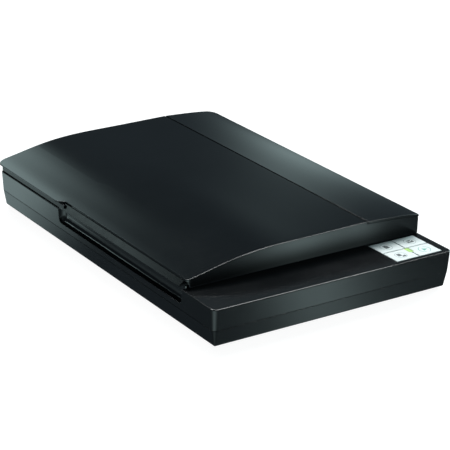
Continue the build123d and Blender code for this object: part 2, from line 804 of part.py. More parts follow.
def film_window():
    gap = 0.1
    z0, z1 = lid_floor + gap, lid_floor + lid_floor_thick - gap
    return block(film_x0 + gap, film_x1 - gap, film_y0 + gap, film_y1 - gap, z0, z1)


def film_light_board():
    board = block(70, 102, -112, 110, 50.0, 51.6)
    for i in range(7):
        board += block(84, 88, -98 + 32 * i, -94 + 32 * i, 49.2, 50.1)
    return board


def film_light_frame():
    """The white box that holds the light board over the window."""
    floor_top = lid_floor + lid_floor_thick
    outer = block(63, 109, -123, 121, floor_top + 0.05, 52.0)
    inner = block(66, 106, -120, 118, floor_top - 1, 49.8)
    pocket = block(69.8, 102.2, -112.2, 110.2, 49, 53)
    return outer - inner - pocket


def document_mat():
    return fillet(
        block(-115, 115, lid_front + 6, 151, mat_low, lid_floor - 0.05).edges().filter_by(Axis.Z), 3
    )


def lid_screws():
    screws = []
    for x, y in lid_screw_spots:
        head = round_z(x, y, lid_floor, lid_floor + 0.6, 2.6)
        screws.append(head + round_z(x, y, lid_floor + 0.5, 51, 1.0))
    return screws


def hinge_bracket(side):
    """The lid's half of a hinge: a foot screwed to the frame, and two ears beside the post."""
    x = side * hinge_x
    floor_top = lid_floor + lid_floor_thick + 0.02
    foot = block(x - 16, x + 16, 166, hinge_slot_front - 1, floor_top, floor_top + 2.4)
    bracket = foot
    for x0, x1 in ((x - 11.6, x - 8.4), (x + 8.4, x + 11.6)):
        ear = prism_x(
            [
                (176, floor_top),
                (hinge_slot_front - 1, floor_top),
                (pivot_y + 1.5, pivot_z - 4.3),
                (pivot_y - 2, pivot_z + 4.1),
                (178, floor_top + 5),
            ],
            x0,
            x1,
        )
        bracket += ear + round_x(pivot_y, pivot_z, x0, x1, 4.5)
    return bracket - round_x(pivot_y, pivot_z, x - 20, x + 20, hinge_pin_r)


def hinge_pins():
    pins = []
    for side in (-1, 1):
        x = side * hinge_x
        pins.append(round_x(pivot_y, pivot_z, x - 12, x + 12, hinge_pin_r))
    return pins


# ---- Write one file for each node ----
nodes = {
    "lower_housing": lower_housing(),
    "upper_housing": upper_housing(),
    "rubber_feet": rubber_feet(),
    "housing_screws": housing_screws(),
    "platen_glass": platen_glass(),
    "calibration_strip": calibration_strip(),
    "control_bezel": control_bezel(),
    "status_light": status_light(),
    "button_board": button_board(),
    "tact_switches": tact_switches(),
    "main_board": main_board(),
    "board_screws": board_screws(),
    "port_board": port_board(),
    "usb_port": usb_port(),
    "dc_jack": dc_jack(),
    "port_harness": port_harness(),
    "guide_rod": guide_rod(),
    "rod_clips": rod_clips(),
    "stepper_motor": stepper_motor(),
    "motor_bracket": motor_bracket(),
    "bracket_screws": bracket_screws(),
    "gear_stud": gear_stud(),
    "drive_gear": drive_gear(),
    "motor_pinion": motor_pinion(),
    "idler_bracket": idler_bracket(),
    "idler_pulley": idler_pulley(),
    "tension_spring": tension_spring(),
    "drive_belt": drive_belt(),
    "transport_lock": transport_lock(),
    "carriage_body": carriage_body(),
    "carriage_cover": carriage_cover(),
    "rod_bushings": rod_bushings(),
    "glide_pads": glide_pads(),
    "light_bar": light_bar(),
    "mirrors": mirrors(),
    "lens_barrel": lens_barrel(),
    "sensor_board": sensor_board(),
    "belt_clamp": belt_clamp(),
    "carriage_ribbon": carriage_ribbon(),
    "hinge_post_left": hinge_post(-1),
    "hinge_post_right": hinge_post(1),
    "lid_shell": lid_shell(),
    "lid_side_panel": lid_side_panel(),
    "lid_frame": lid_frame(),
    "film_window": film_window(),
    "film_light_board": film_light_board(),
    "film_light_frame": film_light_frame(),
    "document_mat": document_mat(),
    "lid_screws": lid_screws(),
    "hinge_bracket_left": hinge_bracket(-1),
    "hinge_bracket_right": hinge_bracket(1),
    "hinge_pins": hinge_pins(),
}
for button in button_centres:
    nodes["button_" + button] = push_button(button)

os.makedirs("parts", exist_ok=True)
for name, shape in nodes.items():
    export_step(Compound(children=shape) if isinstance(shape, list) else shape, f"parts/{name}.step")
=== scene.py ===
import json
from math import cos, pi, radians, sin, sqrt

import bmesh
import bpy
from mathutils import Matrix, Vector


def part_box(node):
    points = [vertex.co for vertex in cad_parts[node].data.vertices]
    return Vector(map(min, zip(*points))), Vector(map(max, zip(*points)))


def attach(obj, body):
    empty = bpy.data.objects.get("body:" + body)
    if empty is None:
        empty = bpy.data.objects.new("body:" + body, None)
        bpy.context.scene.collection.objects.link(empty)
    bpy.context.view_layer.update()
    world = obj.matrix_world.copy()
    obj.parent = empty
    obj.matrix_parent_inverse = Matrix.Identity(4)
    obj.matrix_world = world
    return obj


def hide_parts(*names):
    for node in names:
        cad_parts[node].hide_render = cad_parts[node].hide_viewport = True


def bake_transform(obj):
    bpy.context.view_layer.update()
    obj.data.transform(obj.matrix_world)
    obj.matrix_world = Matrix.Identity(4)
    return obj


# Looks of the flatbed scanner. Metres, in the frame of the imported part: +Z up, buttons at -Y.
# Outer shells, key symbols and the flat cable are meshes made here; every other piece is the
# packed one with a finish made of nodes.

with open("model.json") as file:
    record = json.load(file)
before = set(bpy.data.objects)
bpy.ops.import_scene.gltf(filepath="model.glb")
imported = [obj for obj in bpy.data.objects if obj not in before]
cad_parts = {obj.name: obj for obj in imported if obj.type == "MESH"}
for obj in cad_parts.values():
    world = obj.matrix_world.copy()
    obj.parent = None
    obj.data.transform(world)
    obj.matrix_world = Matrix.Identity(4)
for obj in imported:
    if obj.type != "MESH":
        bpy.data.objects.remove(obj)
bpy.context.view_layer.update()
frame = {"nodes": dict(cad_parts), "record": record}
nodes = frame["nodes"]
mm = 0.001


# ---------------------------------------------------------------- node helpers
class Tree:
    """Short calls for building a node tree."""

    def __init__(self, tree):
        self.tree = tree

    def node(self, kind, **settings):
        made = self.tree.nodes.new(kind)
        for name, value in settings.items():
            setattr(made, name, value)
        return made

    def link(self, value, socket):
        """Plugs an output into an input, or sets the input to a plain value."""
        if isinstance(value, bpy.types.NodeSocket):
            self.tree.links.new(value, socket)
        else:
            socket.default_value = value

    def math(self, operation, a, b=0.0, clamp=False):
        made = self.node("ShaderNodeMath", operation=operation, use_clamp=clamp)
        self.link(a, made.inputs[0])
        self.link(b, made.inputs[1])
        return made.outputs[0]

    def remap(self, value, low, high, to_low=0.0, to_high=1.0, smooth=False):
        made = self.node("ShaderNodeMapRange")
        if smooth:
            made.interpolation_type = "SMOOTHSTEP"
        for socket, given in zip(made.inputs[:5], (value, low, high, to_low, to_high)):
            self.link(given, socket)
        return made.outputs[0]

    def dot(self, vector, direction):
        made = self.node("ShaderNodeVectorMath", operation="DOT_PRODUCT")
        self.link(vector, made.inputs[0])
        made.inputs[1].default_value = direction
        return made.outputs["Value"]

    def position(self, stretch=(1, 1, 1)):
        """Place on the piece in its own coordinates, in millimetres, stretched."""
        coordinates = self.node("ShaderNodeTexCoord").outputs["Object"]
        scale = self.node("ShaderNodeVectorMath", operation="MULTIPLY")
        self.link(coordinates, scale.inputs[0])
        scale.inputs[1].default_value = [1000 * s for s in stretch]
        return scale.outputs[0]

    def noise(self, size, detail=2.0, roughness=0.5, stretch=(1, 1, 1)):
        """Soft noise between 0 and 1 with blobs about size millimetres across."""
        made = self.node("ShaderNodeTexNoise")
        self.link(self.position(stretch), made.inputs["Vector"])
        made.inputs["Scale"].default_value = 1.0 / size
        made.inputs["Detail"].default_value = detail
        made.inputs["Roughness"].default_value = roughness
        return made.outputs["Fac"]

    def mix(self, factor, a, b):
        """Colour a where factor is 0, b where it is 1."""
        made = self.node("ShaderNodeMix", data_type="RGBA")
        self.link(factor, made.inputs[0])
        self.link(as_colour(a), made.inputs[6])
        self.link(as_colour(b), made.inputs[7])
        return made.outputs[2]


def as_colour(value):
    if isinstance(value, bpy.types.NodeSocket):
        return value
    return (value[0], value[1], value[2], 1.0)


def grey(value, warm=0.0):
    """A grey in linear light, a little warm (above 0) or cool (below 0)."""
    return (value * (1 + warm), value, value * (1 - warm))


# ---------------------------------------------------------------- materials
def finish(name, colour, roughness, metallic=0.0, second=None, mottle=40.0, grain=0.5,
           grain_depth=0.01, rough_spread=0.06, wear=0.0, stretch=(1, 1, 1), edge=0.6,
           specular=0.5, level_rough=0.0, pattern=None, **extra):
    """A finish with drifting colour and gloss, fine surface grain and paler, duller worn edges.

    second is the colour that the first drifts to, over mottle millimetres. grain is the size of
    the surface's grain and grain_depth its height, in millimetres. wear is how much paler the
    edges are, and level_rough how much duller the level faces. pattern(tree, colour) may paint
    over the drifting colour.
    """
    material = bpy.data.materials.new(name)
    material.use_nodes = True
    t = Tree(material.node_tree)
    shader = material.node_tree.nodes["Principled BSDF"]
    drift = t.remap(t.noise(mottle, 4.0, 0.6, stretch), 0.35, 0.65)
    painted = t.mix(drift, colour, second or [c * 0.8 for c in colour])
    if pattern:
        painted = pattern(t, painted)
    fine = t.noise(grain, 3.0, 0.7, stretch)
    rough = t.remap(drift, 0.0, 1.0, roughness - rough_spread / 2, roughness + rough_spread / 2)
    rough = t.math("ADD", rough, t.remap(fine, 0.3, 0.7, -rough_spread / 4, rough_spread / 4))
    if level_rough > 0:
        upright = t.dot(t.node("ShaderNodeNewGeometry").outputs["Normal"], (0, 0, 1))
        rough = t.math("ADD", rough, t.remap(upright, 0.95, 0.99, 0.0, level_rough))
    bump = t.node("ShaderNodeBump")
    bump.inputs["Strength"].default_value = 1.0
    bump.inputs["Distance"].default_value = grain_depth * mm
    t.link(fine, bump.inputs["Height"])
    if wear > 0:
        bevel = t.node("ShaderNodeBevel", samples=3)
        bevel.inputs["Radius"].default_value = edge * mm
        facing = t.node("ShaderNodeVectorMath", operation="DOT_PRODUCT")
        t.link(bevel.outputs[0], facing.inputs[0])
        t.link(t.node("ShaderNodeNewGeometry").outputs["Normal"], facing.inputs[1])
        worn = t.remap(facing.outputs["Value"], 0.995, 0.80)
        worn = t.math("MULTIPLY", worn, t.remap(t.noise(6.0, 5.0, 0.7), 0.42, 0.62, 0.15, 1.0))
        worn = t.math("MULTIPLY", worn, wear, clamp=True)
        worn_colour = [min(1.0, 0.10 + 1.6 * c) for c in colour]
        worn_dulling = 0.15
        painted = t.mix(worn, painted, worn_colour)
        rough = t.math("ADD", rough, t.math("MULTIPLY", worn, worn_dulling))
        t.link(bevel.outputs[0], bump.inputs["Normal"])
    t.link(painted, shader.inputs["Base Color"])
    t.link(rough, shader.inputs["Roughness"])
    t.link(bump.outputs[0], shader.inputs["Normal"])
    shader.inputs["Metallic"].default_value = metallic
    shader.inputs["Specular IOR Level"].default_value = specular
    for socket, value in extra.items():
        shader.inputs[socket.replace("_", " ").title()].default_value = value
    return material


def stripes(colour, pitch, share, axis=0):
    """A pattern of lines across one axis, pitch millimetres apart."""

    def paint(t, under):
        split = t.node("ShaderNodeSeparateXYZ")
        t.link(t.position(), split.inputs[0])
        phase = t.math("FRACT", t.math("DIVIDE", split.outputs[axis], pitch))
        return t.mix(t.math("LESS_THAN", phase, share), under, colour)

    return paint


def board_pattern(board_top, tracks, pads, part):
    """Tracks and pads under lacquer, and parts in their own colour above board_top."""
    track_length, track_pitch, track_gap = 1.3, 0.6, 0.05
    pad_size = 0.12

    def paint(t, under):
        split = t.node("ShaderNodeSeparateXYZ")
        t.link(t.position(), split.inputs[0])
        cells = t.node("ShaderNodeTexVoronoi", distance="CHEBYCHEV", feature="F1")
        t.link(t.position(), cells.inputs["Vector"])
        cells.inputs["Scale"].default_value = 0.35
        cells.inputs["Randomness"].default_value = 0.55
        brick = t.node("ShaderNodeTexBrick")
        t.link(t.position(), brick.inputs["Vector"])
        brick.inputs["Scale"].default_value = 0.5
        brick.inputs["Mortar Size"].default_value = track_gap
        brick.inputs["Brick Width"].default_value = track_length
        brick.inputs["Row Height"].default_value = track_pitch
        board = t.mix(brick.outputs["Fac"], under, tracks)
        board = t.mix(t.math("LESS_THAN", cells.outputs["Distance"], pad_size), board, pads)
        above = t.math("GREATER_THAN", split.outputs[2], board_top)
        return t.mix(above, board, part)

    return paint


black = grey(0.0022, -0.25)
black_drift = grey(0.0030, -0.25)         # the colour that the glossy black drifts to
steel = grey(0.52, 0.01)
acetal = (0.72, 0.72, 0.67)
green = (0.012, 0.085, 0.035)
copper = (0.03, 0.16, 0.06)               # under green lacquer
solder = (0.45, 0.44, 0.40)


def make_board(name, board_top, part, base=green, tracks=copper, roughness=0.35):
    """The finish of a circuit board. Whatever stands above board_top has the part's colour."""
    return finish(name, base, roughness, mottle=20, grain=0.4, grain_depth=0.01,
                  pattern=board_pattern(board_top, tracks, solder, part))


def make_ink(name, colour):
    return finish(name, colour, 0.45, mottle=3, grain=0.2, grain_depth=0.004)


def make_materials():
    """The finishes by name."""
    board_thick = 1.65                    # and a little for the lacquer
    top_of_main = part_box("main_board")[0].z / mm + board_thick
    top_of_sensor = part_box("sensor_board")[0].z / mm + board_thick
    top_of_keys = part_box("button_board")[0].z / mm + board_thick
    no_parts = 1000.0                     # a height that nothing on the board reaches
    chip = grey(0.012)
    found = {
        "lid_plastic": finish("lid_plastic", black, 0.075, second=black_drift, mottle=120,
                              grain=0.30, grain_depth=0.0005, rough_spread=0.03, wear=0.12, edge=0.3),
        "panel_plastic": finish("panel_plastic", black, 0.075, second=black_drift, mottle=110,
                                grain=0.30, grain_depth=0.0005, rough_spread=0.03, wear=0.12, edge=0.3),
        "case_plastic": finish("case_plastic", black, 0.085, second=black_drift, mottle=80,
                               grain=0.45, grain_depth=0.0008, rough_spread=0.04, wear=0.14, edge=0.25,
                               level_rough=0.07),
        "tray_plastic": finish("tray_plastic", black, 0.16, second=grey(0.0034, -0.2), mottle=60,
                               grain=0.5, grain_depth=0.002, wear=0.10, edge=0.2, specular=0.2),
        "moulded_black": finish("moulded_black", grey(0.010), 0.42, mottle=25, grain=0.6,
                                grain_depth=0.02, wear=0.25, edge=0.4),
        "rubber": finish("rubber", grey(0.016, 0.03), 0.82, mottle=6, grain=0.4, grain_depth=0.05,
                         wear=0.2, specular=0.25),
        "belt_rubber": finish("belt_rubber", grey(0.014), 0.7, mottle=9, grain=0.25, grain_depth=0.03,
                              specular=0.3, pattern=stripes(grey(0.028), 2.0, 0.5, axis=1)),
        "key_plastic": finish("key_plastic", (0.80, 0.82, 0.82), 0.30, second=(0.74, 0.77, 0.77),
                              mottle=14, grain=0.25, grain_depth=0.004, rough_spread=0.05,
                              wear=0.05, edge=0.25),
        "key_ink": make_ink("key_ink", (0.055, 0.075, 0.080)),
        "key_ring_ink": make_ink("key_ring_ink", (0.42, 0.47, 0.47)),
        "start_ink": make_ink("start_ink", (0.10, 0.42, 0.34)),
        "light_window": finish("light_window", (0.58, 0.76, 0.26), 0.25, second=(0.50, 0.70, 0.20),
                               mottle=5, grain=0.3, grain_depth=0.004, subsurface_weight=0.3),
        "bright_steel": finish("bright_steel", steel, 0.18, 1.0, mottle=30, grain=0.3,
                               grain_depth=0.002, rough_spread=0.08, stretch=(1, 0.05, 1)),
        "plated_steel": finish("plated_steel", grey(0.44, 0.03), 0.34, 1.0, mottle=8, grain=0.5,
                               grain_depth=0.006, rough_spread=0.12, wear=0.3, edge=0.3),
        "sheet_steel": finish("sheet_steel", grey(0.40), 0.40, 1.0, second=grey(0.50), mottle=5,
                              grain=0.8, grain_depth=0.01, rough_spread=0.16, wear=0.2, edge=0.3),
        "brass": finish("brass", (0.62, 0.42, 0.16), 0.28, 1.0, mottle=5, grain=0.3,
                        grain_depth=0.004, wear=0.2, edge=0.2),
        "bronze": finish("bronze", (0.42, 0.24, 0.10), 0.45, 1.0, mottle=4, grain=0.25,
                         grain_depth=0.02, wear=0.2, edge=0.3),
        "acetal": finish("acetal", acetal, 0.38, second=(0.66, 0.66, 0.60), mottle=12, grain=0.4,
                         grain_depth=0.008, wear=0.05, edge=0.3, subsurface_weight=0.08),
        "white_plastic": finish("white_plastic", (0.70, 0.71, 0.70), 0.5, mottle=30, grain=0.6,
                                grain_depth=0.015, wear=0.05),
        "mat_foam": finish("mat_foam", (0.80, 0.81, 0.80), 0.55, second=(0.77, 0.78, 0.775),
                           mottle=25, grain=0.9, grain_depth=0.03, rough_spread=0.08),
        "diffuser": finish("diffuser", (0.74, 0.76, 0.76), 0.42, mottle=40, grain=0.3,
                           grain_depth=0.006, transmission_weight=0.25),
        "light_guide": finish("light_guide", (0.82, 0.85, 0.86), 0.12, mottle=30, grain=0.4,
                              grain_depth=0.002, transmission_weight=0.55),
        "mirror_glass": finish("mirror_glass", grey(0.86), 0.04, 1.0, second=grey(0.82), mottle=30,
                               grain=0.4, grain_depth=0.0004, rough_spread=0.02),
        "lens_black": finish("lens_black", grey(0.012), 0.30, mottle=5, grain=0.3, grain_depth=0.01,
                             wear=0.3, edge=0.2),
        "main_board": make_board("main_board", top_of_main, chip),
        "port_board": make_board("port_board", no_parts, chip),
        "sensor_board": make_board("sensor_board", top_of_sensor, chip),
        "key_board": make_board("key_board", top_of_keys, acetal),
        "film_board": make_board("film_board", no_parts, chip, base=(0.62, 0.63, 0.62),
                                 tracks=grey(0.4), roughness=0.4),
        "wire": finish("wire", grey(0.50), 0.45, mottle=12, grain=0.4, grain_depth=0.01,
                       pattern=stripes((0.16, 0.17, 0.18), 1.4, 0.22)),
        "flat_cable": finish("flat_cable", (0.66, 0.66, 0.63), 0.4, mottle=25, grain=0.4,
                             grain_depth=0.006, pattern=stripes((0.34, 0.30, 0.26), 1.0, 0.45)),
    }
    found["glass"] = make_glass()
    return found


def make_glass():
    """Clear float glass with a faint green body and a trace of dust."""
    material = bpy.data.materials.new("glass")
    material.use_nodes = True
    t = Tree(material.node_tree)
    shader = material.node_tree.nodes["Principled BSDF"]
    shader.inputs["Base Color"].default_value = (0.93, 0.98, 0.95, 1)
    shader.inputs["Transmission Weight"].default_value = 1.0
    shader.inputs["IOR"].default_value = 1.5
    dust = t.remap(t.noise(2.0, 6.0, 0.8), 0.62, 0.75, 0.015, 0.09)
    t.link(dust, shader.inputs["Roughness"])
    clear = t.node("ShaderNodeBsdfTransparent")
    clear.inputs[0].default_value = (0.90, 0.96, 0.93, 1)
    path = t.node("ShaderNodeLightPath")
    mixed = t.node("ShaderNodeMixShader")
    rays = t.math("MAXIMUM", path.outputs["Is Shadow Ray"], path.outputs["Is Diffuse Ray"])
    t.link(rays, mixed.inputs[0])
    t.link(shader.outputs[0], mixed.inputs[1])
    t.link(clear.outputs[0], mixed.inputs[2])
    out = material.node_tree.nodes["Material Output"]
    t.link(mixed.outputs[0], out.inputs["Surface"])
    return material


node_finish = {
    "lower_housing": "case_plastic", "upper_housing": "case_plastic", "rubber_feet": "rubber",
    "housing_screws": "plated_steel", "platen_glass": "glass", "calibration_strip": "white_plastic",
    "control_bezel": "case_plastic", "status_light": "light_window", "button_board": "key_board",
    "tact_switches": "moulded_black", "main_board": "main_board", "board_screws": "plated_steel",
    "port_board": "port_board", "usb_port": "plated_steel", "dc_jack": "moulded_black",
    "port_harness": "wire", "guide_rod": "bright_steel", "rod_clips": "acetal",
    "stepper_motor": "sheet_steel", "motor_bracket": "sheet_steel", "bracket_screws": "plated_steel",
    "gear_stud": "bright_steel", "drive_gear": "acetal", "motor_pinion": "brass",
    "idler_bracket": "sheet_steel", "idler_pulley": "acetal", "tension_spring": "bright_steel",
    "drive_belt": "belt_rubber", "transport_lock": "moulded_black", "carriage_body": "moulded_black",
    "carriage_cover": "moulded_black", "rod_bushings": "bronze", "glide_pads": "acetal",
    "light_bar": "light_guide", "mirrors": "mirror_glass", "lens_barrel": "lens_black",
    "sensor_board": "sensor_board", "belt_clamp": "acetal", "carriage_ribbon": "flat_cable",
    "hinge_post_left": "tray_plastic", "hinge_post_right": "tray_plastic",
    "lid_shell": "lid_plastic", "lid_side_panel": "panel_plastic", "lid_frame": "tray_plastic",
    "film_window": "diffuser", "film_light_board": "film_board", "film_light_frame": "white_plastic",
    "document_mat": "mat_foam", "lid_screws": "plated_steel", "hinge_bracket_left": "sheet_steel",
    "hinge_bracket_right": "sheet_steel", "hinge_pins": "bright_steel",
    "button_file": "key_plastic", "button_email": "key_plastic", "button_copy": "key_plastic",
    "button_start": "key_plastic",
}
materials = make_materials()


def give_finish(obj, name):
    obj.data.materials.clear()
    obj.data.materials.append(materials[name])


for node_name, finish_name in node_finish.items():
    give_finish(nodes[node_name], finish_name)


# ---------------------------------------------------------------- meshes
def cubic(points, slopes):
    """The smooth curve y(x) through the points, with these slopes at its two ends."""
    count = len(points)
    gaps = [points[i + 1][0] - points[i][0] for i in range(count - 1)]
    rises = [(points[i + 1][1] - points[i][1]) / gaps[i] for i in range(count - 1)]
    # slopes at the inner points make the curvature continuous: a three-diagonal system
    slope, share = [slopes[0]], [0.0]
    for i in range(1, count - 1):
        diagonal = 2 / gaps[i - 1] + 2 / gaps[i] - share[-1] / gaps[i - 1]
        known = 3 * (rises[i - 1] / gaps[i - 1] + rises[i] / gaps[i]) - slope[-1] / gaps[i - 1]
        share.append(1 / gaps[i] / diagonal)
        slope.append(known / diagonal)
    slope.append(slopes[1])
    for i in range(count - 2, 0, -1):
        slope[i] -= share[i] * slope[i + 1]

    def curve(x):
        i = 0
        while i < count - 2 and x > points[i + 1][0]:
            i += 1
        u = (x - points[i][0]) / gaps[i]
        u = min(max(u, 0.0), 1.0)
        y0, y1 = points[i][1], points[i + 1][1]
        m0, m1 = slope[i] * gaps[i], slope[i + 1] * gaps[i]
        return (
            y0 * (2 * u ** 3 - 3 * u ** 2 + 1)
            + m0 * (u ** 3 - 2 * u ** 2 + u)
            + y1 * (3 * u ** 2 - 2 * u ** 3)
            + m1 * (u ** 3 - u ** 2)
        )

    return curve


def smooth_step(value, low, high):
    u = min(max((value - low) / (high - low), 0.0), 1.0)
    return u * u * (3 - 2 * u)


def make_piece(name, points, faces, material, body, stands_for=()):
    """A closed mesh from points in millimetres, with soft shading between its sharp edges."""
    mesh = bpy.data.meshes.new(name)
    mesh.from_pydata([(x * mm, y * mm, z * mm) for x, y, z in points], [], faces)
    built = bmesh.new()
    built.from_mesh(mesh)
    bmesh.ops.remove_doubles(built, verts=built.verts, dist=0.0005 * mm)
    bmesh.ops.recalc_face_normals(built, faces=built.faces)
    built.to_mesh(mesh)
    built.free()
    mesh.shade_smooth()
    mesh.set_sharp_from_angle(angle=radians(35))
    piece = bpy.data.objects.new(name, mesh)
    bpy.context.scene.collection.objects.link(piece)
    weights = piece.modifiers.new("weighted_normals", "WEIGHTED_NORMAL")
    weights.keep_sharp = True
    give_finish(piece, material)
    if body:
        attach(piece, body)
    if stands_for:
        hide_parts(*stands_for)
    return piece


def rim(rows, columns):
    """The grid's outer loop, as (row, column) pairs in order."""
    loop = [(0, j) for j in range(columns)]
    loop += [(i, columns - 1) for i in range(1, rows)]
    loop += [(rows - 1, j) for j in range(columns - 2, -1, -1)]
    loop += [(i, 0) for i in range(rows - 2, 0, -1)]
    return loop


def moulded_shell(name, plan, top, low, skin, edge, material, body, stands_for, plate=False):
    """A thin moulded cover with a crowned top, rounded edges and, unless it is a plate, walls.

    plan(inset) gives the grid of (x, y) places for the outline moved in by inset. top(x, y) is the
    height of the top, and low(x, y) the height of the wall's bottom edge.
    """
    edge_steps = 5
    foot_round = 0.25       # at the outer bottom edge of a wall
    plate_bevel = 0.3       # at the bottom edge of a plate
    points, faces = [], []
    flat = plan(edge)
    rows, columns = len(flat), len(flat[0])
    loop = rim(rows, columns)

    def add_grid(grid, drop, flip):
        start = len(points)
        for row in grid:
            points.extend((x, y, top(x, y) - drop) for x, y in row)
        for i in range(rows - 1):
            for j in range(columns - 1):
                a = start + i * columns + j
                quad = (a, a + 1, a + columns + 1, a + columns)
                faces.append(quad[::-1] if flip else quad)
        return [start + i * columns + j for i, j in loop]

    def add_ring(places, previous):
        start = len(points)
        points.extend(places)
        ring = list(range(start, start + len(places)))
        for k in range(len(ring)):
            n = (k + 1) % len(ring)
            faces.append((previous[k], previous[n], ring[n], ring[k]))
        return ring

    last = add_grid(flat, 0.0, False)
    crest = [top(*flat[i][j]) for i, j in loop]
    for step in range(1, edge_steps + 1):
        turn = pi / 2 * step / edge_steps
        grid = plan(edge * (1 - sin(turn)))
        drop = edge * (1 - cos(turn))
        last = add_ring([(*grid[i][j], z - drop) for (i, j), z in zip(loop, crest)], last)
    outside, inside = plan(0.0), plan(skin)
    if plate:
        last = add_ring([(*outside[i][j], z - skin) for (i, j), z in zip(loop, crest)], last)
        inside = plan(plate_bevel)
    else:
        foot = [low(*outside[i][j]) for i, j in loop]
        last = add_ring([(*outside[i][j], z + foot_round) for (i, j), z in zip(loop, foot)], last)
        grid = plan(foot_round)
        last = add_ring([(*grid[i][j], z) for (i, j), z in zip(loop, foot)], last)
        last = add_ring([(*inside[i][j], z) for (i, j), z in zip(loop, foot)], last)
    inner = add_grid(inside, skin, True)
    for k in range(len(loop)):
        n = (k + 1) % len(loop)
        faces.append((last[k], last[n], inner[n], inner[k]))
    return make_piece(name, points, faces, material, body, stands_for)


def spread(start, end, count):
    return [start + (end - start) * i / count for i in range(count + 1)]


# ---------------------------------------------------------------- lid
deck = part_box("upper_housing")[1].z / mm
lid_low_corner, lid_high_corner = (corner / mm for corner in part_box("lid_shell"))
panel_low_corner, panel_high_corner = (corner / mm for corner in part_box("lid_side_panel"))
seam_left = panel_low_corner.x - 1.7      # where the main cover ends
seam_right = panel_low_corner.x           # where the side panel starts
crest_x = (seam_left + seam_right) / 2
half_width = panel_high_corner.x
# height of the top above the deck across the two covers, with the slopes at their ends
crest_height = 24.8
cover_top = cubic(
    [(-half_width, 6.7), (-118, 11.7), (-82, 19.1), (-55, 22.3), (0, 23.8), (crest_x, crest_height)],
    (0.27, 0.012),
)
panel_top = cubic([(crest_x, crest_height), (112, 23.0), (half_width, 20.0)], (-0.04, -0.16))
front_radius, back_radius = 4.0, 10.0
grip_inset, grip_start, grip_end = 6.0, 68.0, 83.0
lid_skin = 2.0
edge_round = 0.6
seam_round = 0.3
seam_leans = (0, 22, 45, 67, 90)          # degrees round the seam's edges
panel_corner = 1.0                        # corner radius of the side panel at the front
panel_gap = 0.1                           # between the side panel and the ledge under it
ledge_step = 0.05                         # from the seam's edge to the ledge beside it
wall_foot = lid_low_corner.z              # bottom of the front and side walls
back_foot = deck + 2.6
lip_foot = deck + 5.7
notch_top = 58.0
notches = (-83.0, -57.0, 57.0, 83.0)


def row_places(front, back, inset):
    """(y, turn round the front corner, turn round the back corner) for each row of a grid."""
    front_steps, back_steps = 6, 8
    rows = []
    for step in range(front_steps + 1):
        turn = pi / 2 * step / front_steps
        rows.append((front + front_radius - (front_radius - inset) * cos(turn), turn, None))
    stops = spread(front + front_radius, grip_start - 1, 22)[1:]
    stops += spread(grip_start, grip_end, 12)
    stops += spread(grip_end + 1, back - back_radius, 14)
    rows += [(y, None, None) for y in stops]
    for step in range(1, back_steps + 1):
        turn = pi / 2 * step / back_steps
        rows.append((back - back_radius + (back_radius - inset) * sin(turn), None, turn))
    return rows


def corner_inset(radius, inset, turn_from_side):
    """How far a rounded corner's side has moved in, at an angle from where the arc meets the side."""
    return radius - max(radius - inset, 0.0) * cos(turn_from_side)


def cover_plan(inset):
    """The main cover's plan: a left edge that steps in beside the finger recess, and a right edge."""
    front, back = lid_low_corner.y, lid_high_corner.y
    left, right = lid_low_corner.x, lid_high_corner.x
    back_left = left + back_radius
    sides_of_notch = (-1e-4, 1e-4)        # two columns close together make a sharp step
    notch_shares = [(x - back_left) / (seam_left - back_left) for x in notches[:3]]
    left_shares = spread(0.0, 0.995, 40)
    left_shares += [share + push for share in notch_shares for push in sides_of_notch]
    for lean in seam_leans:
        left_shares.append(1 - seam_round * (1 - sin(radians(lean))) / (seam_left - back_left))
    left_shares.sort()
    ledge_start = seam_left + ledge_step
    last_share = (notches[3] - ledge_start) / (right - back_radius - ledge_start)
    right_shares = sorted(spread(0.0, 1.0, 10) + [last_share + push for push in sides_of_notch])
    grid = []
    for y, front_turn, back_turn in row_places(front, back, inset):
        grip = grip_inset * (1 - smooth_step(y, grip_start, grip_end))
        x0, x1 = left + grip + inset, right - inset
        if front_turn is not None:
            x0 = left + grip + corner_inset(front_radius, inset, pi / 2 - front_turn)
        if back_turn is not None:
            x0 = left + corner_inset(back_radius, inset, back_turn)
            x1 = right - corner_inset(back_radius, inset, back_turn)
        row = [(x0 + (seam_left - x0) * share, y) for share in left_shares]
        row += [(ledge_start + (x1 - ledge_start) * share, y) for share in right_shares]
        grid.append(row)
    return grid


def cover_height(x, y):
    """The main cover's top: rounded at the seam, and a ledge under the side panel."""
    if x > seam_left + ledge_step / 2:
        return deck + panel_top(max(x, crest_x)) - lid_skin - panel_gap
    past = min(max((x - (seam_left - seam_round)) / seam_round, 0.0), 1.0)
    return deck + cover_top(x) - seam_round * (1 - sqrt(1 - past ** 2))


def cover_foot(x, y):
    """Bottom of the cover's wall: high along the left lip, and notched over the two hinges."""
    lip_end = lid_low_corner.x + grip_inset + lid_skin + 0.4
    back_wall_start = lid_high_corner.y - lid_skin - 0.5
    back_corner_start = lid_high_corner.y - back_radius - 7
    if x < lip_end:
        return lip_foot
    over_hinge = notches[0] < x < notches[1] or notches[2] < x < notches[3]
    if over_hinge and y > back_wall_start:
        return notch_top
    return back_foot if y > back_corner_start else wall_foot


